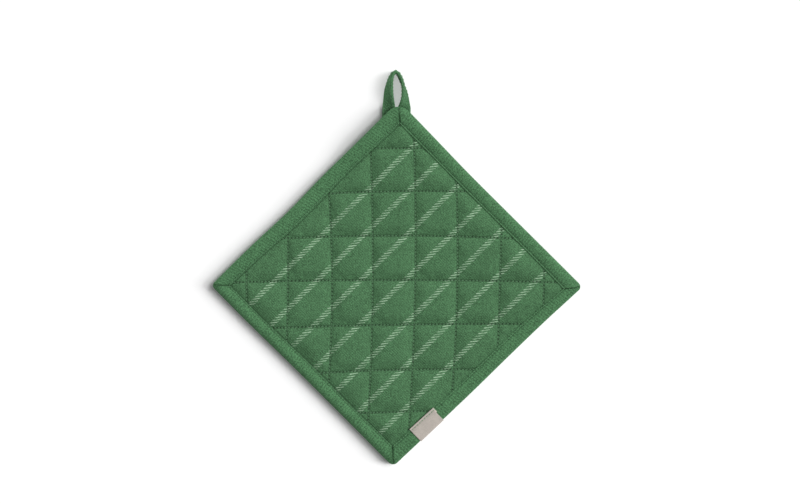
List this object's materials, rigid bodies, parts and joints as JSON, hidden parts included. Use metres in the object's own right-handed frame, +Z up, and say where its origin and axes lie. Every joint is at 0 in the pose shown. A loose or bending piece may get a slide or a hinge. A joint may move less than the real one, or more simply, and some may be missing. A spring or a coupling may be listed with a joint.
{
  "type": "pot holder",
  "caption": "Square quilted cotton pot holder lying flat, with a mitred cloth binding, a folded hanging loop at one corner and a small blank label folded over the edge.",
  "frame": {"origin": "middle of the bounding box in plan, on the table that the pot holder lies on", "axes": "+Z up out of the face; +Y towards the corner with the hanging loop; +X to the right of the face, so the square stands on one corner"},
  "size_m": [0.3131, 0.3352, 0.011],
  "materials": {
    "quilt_cloth": "matt green cotton twill with narrow pale broken stripes, quilted",
    "binding_cloth": "matt green cotton twill, folded and topstitched",
    "loop_cloth": "matt green cotton twill, folded into a strip",
    "label_tape": "pale greige woven tape, blank"
  },
  "bodies": {
    "root": {"pad": "quilt_cloth", "binding": "binding_cloth", "loop": "loop_cloth", "label": "label_tape"}
  },
  "joints": []
}
